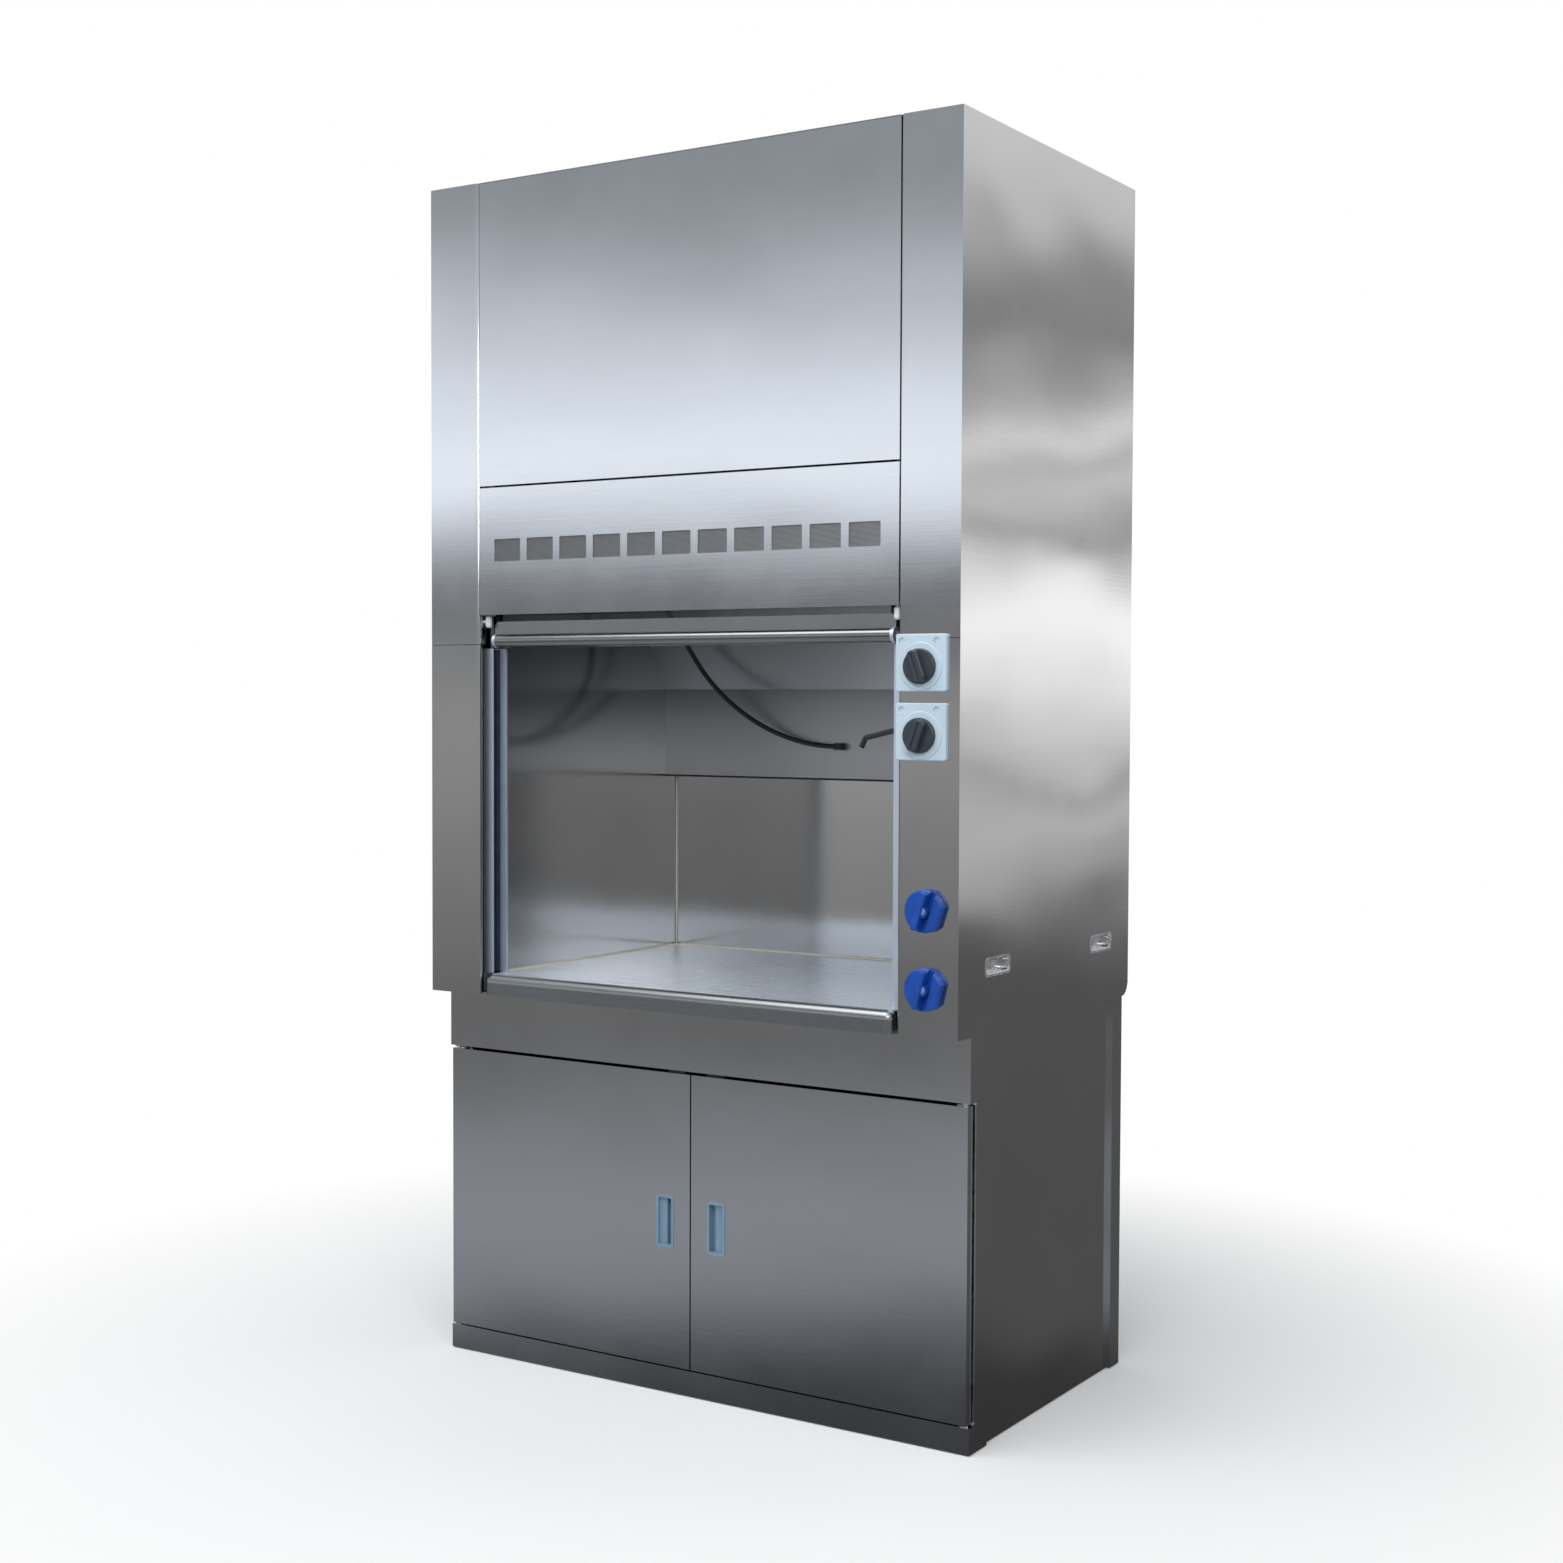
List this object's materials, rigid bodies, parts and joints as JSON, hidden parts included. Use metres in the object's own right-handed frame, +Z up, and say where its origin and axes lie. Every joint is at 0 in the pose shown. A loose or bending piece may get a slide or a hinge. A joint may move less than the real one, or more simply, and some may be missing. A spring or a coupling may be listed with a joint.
{
  "type": "fume hood",
  "caption": "Walk-up stainless steel fume hood with a counterbalanced vertical sash, side service post, baffled chamber and two-door base cabinet.",
  "frame": {"origin": "on the floor, under the middle of the bounding box", "axes": "+Z up, the sash and doors face -Y, +X is to the right of a person facing the hood"},
  "size_m": [1.2, 0.76, 2.405],
  "materials": {
    "stainless": "brushed satin stainless steel",
    "liner_steel": "brushed stainless steel, semi-mirror",
    "aluminium": "satin anodised",
    "galvanised": "plain zinc-coated steel",
    "safety_glass": "clear",
    "lamp_glass": "frosted",
    "nylon": "natural white",
    "black_rubber": "matte black",
    "black_coating": "epoxy coated",
    "pale_plastic": "moulded, semi-gloss",
    "slate_plastic": "moulded, satin",
    "blue_plastic": "moulded, semi-gloss",
    "pull_plastic": "moulded, satin",
    "brass": "turned",
    "cast_iron": "as cast, oiled",
    "zinc": "bright zinc"
  },
  "bodies": {
    "hood": {"left_side_panel": "stainless", "right_side_panel": "stainless", "side_grip_cups": "zinc", "left_post_upper_cover": "stainless", "right_post_upper_cover": "stainless", "left_post_lower_cover": "stainless", "right_post_lower_cover": "stainless", "hood_back_panel": "stainless", "roof_panel": "stainless", "exhaust_duct": "stainless", "upper_front_panel": "stainless", "fascia_panel": "stainless", "vent_mesh": "galvanised", "worktop": "liner_steel", "left_liner": "liner_steel", "right_liner": "liner_steel", "chamber_ceiling": "liner_steel", "lower_baffle": "liner_steel", "upper_baffle": "liner_steel", "lamp_housing": "galvanised", "lamp_lens": "lamp_glass", "lamp_cable": "black_rubber", "cable_glands": "black_rubber", "left_track": "aluminium", "right_track": "aluminium", "sash_belts": "black_rubber", "sash_bumpers": "nylon", "bearing_brackets": "galvanised", "switch_boxes": "pale_plastic", "valve_bodies": "brass", "service_outlets": "black_coating", "base_left_side": "stainless", "base_right_side": "stainless", "base_back_panel": "stainless", "base_floor": "stainless", "apron_panel": "stainless", "levelling_feet": "black_rubber", "door_pivot_pins": "zinc", "magnetic_catches": "slate_plastic"},
    "sash": {"sash_glass": "safety_glass", "sash_frame": "aluminium", "sash_bottom_rail": "stainless", "sash_pull_tube": "stainless", "sash_pull_caps": "aluminium", "sash_guides": "nylon"},
    "left_counterweight": {"left_counterweight": "cast_iron"},
    "right_counterweight": {"right_counterweight": "cast_iron"},
    "sync_shaft": {"sync_shaft": "galvanised"},
    "left_idler": {"left_idler": "galvanised"},
    "right_idler": {"right_idler": "galvanised"},
    "left_door": {"left_door_pan": "stainless", "left_door_liner": "galvanised", "left_door_pull": "pull_plastic"},
    "right_door": {"right_door_pan": "stainless", "right_door_liner": "galvanised", "right_door_pull": "pull_plastic"},
    "upper_switch_knob": {"upper_switch_knob": "slate_plastic"},
    "lower_switch_knob": {"lower_switch_knob": "slate_plastic"},
    "upper_valve_knob": {"upper_valve_knob": "blue_plastic"},
    "lower_valve_knob": {"lower_valve_knob": "blue_plastic"}
  },
  "joints": [
    {"name": "sash_slide", "type": "slide", "parent": "hood", "child": "sash", "axis": [0, 0, 1], "range_m": [-0.648, 0]},
    {"name": "left_counterweight_slide", "type": "slide", "parent": "hood", "child": "left_counterweight", "axis": [0, 0, 1], "range_m": [0, 0.648]},
    {"name": "right_counterweight_slide", "type": "slide", "parent": "hood", "child": "right_counterweight", "axis": [0, 0, 1], "range_m": [0, 0.648]},
    {"name": "sync_shaft_spin", "type": "hinge", "parent": "hood", "child": "sync_shaft", "pos_m": [0, -0.286, 2.262], "axis": [1, 0, 0], "range_deg": [0, 1314.75]},
    {"name": "left_idler_spin", "type": "hinge", "parent": "hood", "child": "left_idler", "pos_m": [-0.5, -0.286, 1.5], "axis": [1, 0, 0], "range_deg": [0, 1314.75]},
    {"name": "right_idler_spin", "type": "hinge", "parent": "hood", "child": "right_idler", "pos_m": [0.5, -0.286, 1.5], "axis": [1, 0, 0], "range_deg": [0, 1314.75]},
    {"name": "left_door_hinge", "type": "hinge", "parent": "hood", "child": "left_door", "pos_m": [-0.584, -0.287, 0.3], "axis": [0, 0, 1], "range_deg": [-110, 0]},
    {"name": "right_door_hinge", "type": "hinge", "parent": "hood", "child": "right_door", "pos_m": [0.584, -0.287, 0.3], "axis": [0, 0, 1], "range_deg": [0, 110]},
    {"name": "upper_switch_turn", "type": "hinge", "parent": "hood", "child": "upper_switch_knob", "pos_m": [0.527, -0.36, 1.3935], "axis": [0, 1, 0], "range_deg": [0, 40]},
    {"name": "lower_switch_turn", "type": "hinge", "parent": "hood", "child": "lower_switch_knob", "pos_m": [0.527, -0.36, 1.2735], "axis": [0, 1, 0], "range_deg": [-40, 0]},
    {"name": "upper_valve_turn", "type": "hinge", "parent": "hood", "child": "upper_valve_knob", "pos_m": [0.538, -0.351, 0.968], "axis": [0, 1, 0], "range_deg": [-270, 0]},
    {"name": "lower_valve_turn", "type": "hinge", "parent": "hood", "child": "lower_valve_knob", "pos_m": [0.538, -0.351, 0.831], "axis": [0, 1, 0], "range_deg": [-270, 0]}
  ],
  "couplings": [
    {"joint": "left_counterweight_slide", "follows": "sash_slide", "ratio": -1},
    {"joint": "right_counterweight_slide", "follows": "sash_slide", "ratio": -1},
    {"joint": "sync_shaft_spin", "follows": "sash_slide", "rad_per_m": -35.398},
    {"joint": "left_idler_spin", "follows": "sash_slide", "rad_per_m": -35.398},
    {"joint": "right_idler_spin", "follows": "sash_slide", "rad_per_m": -35.398}
  ]
}
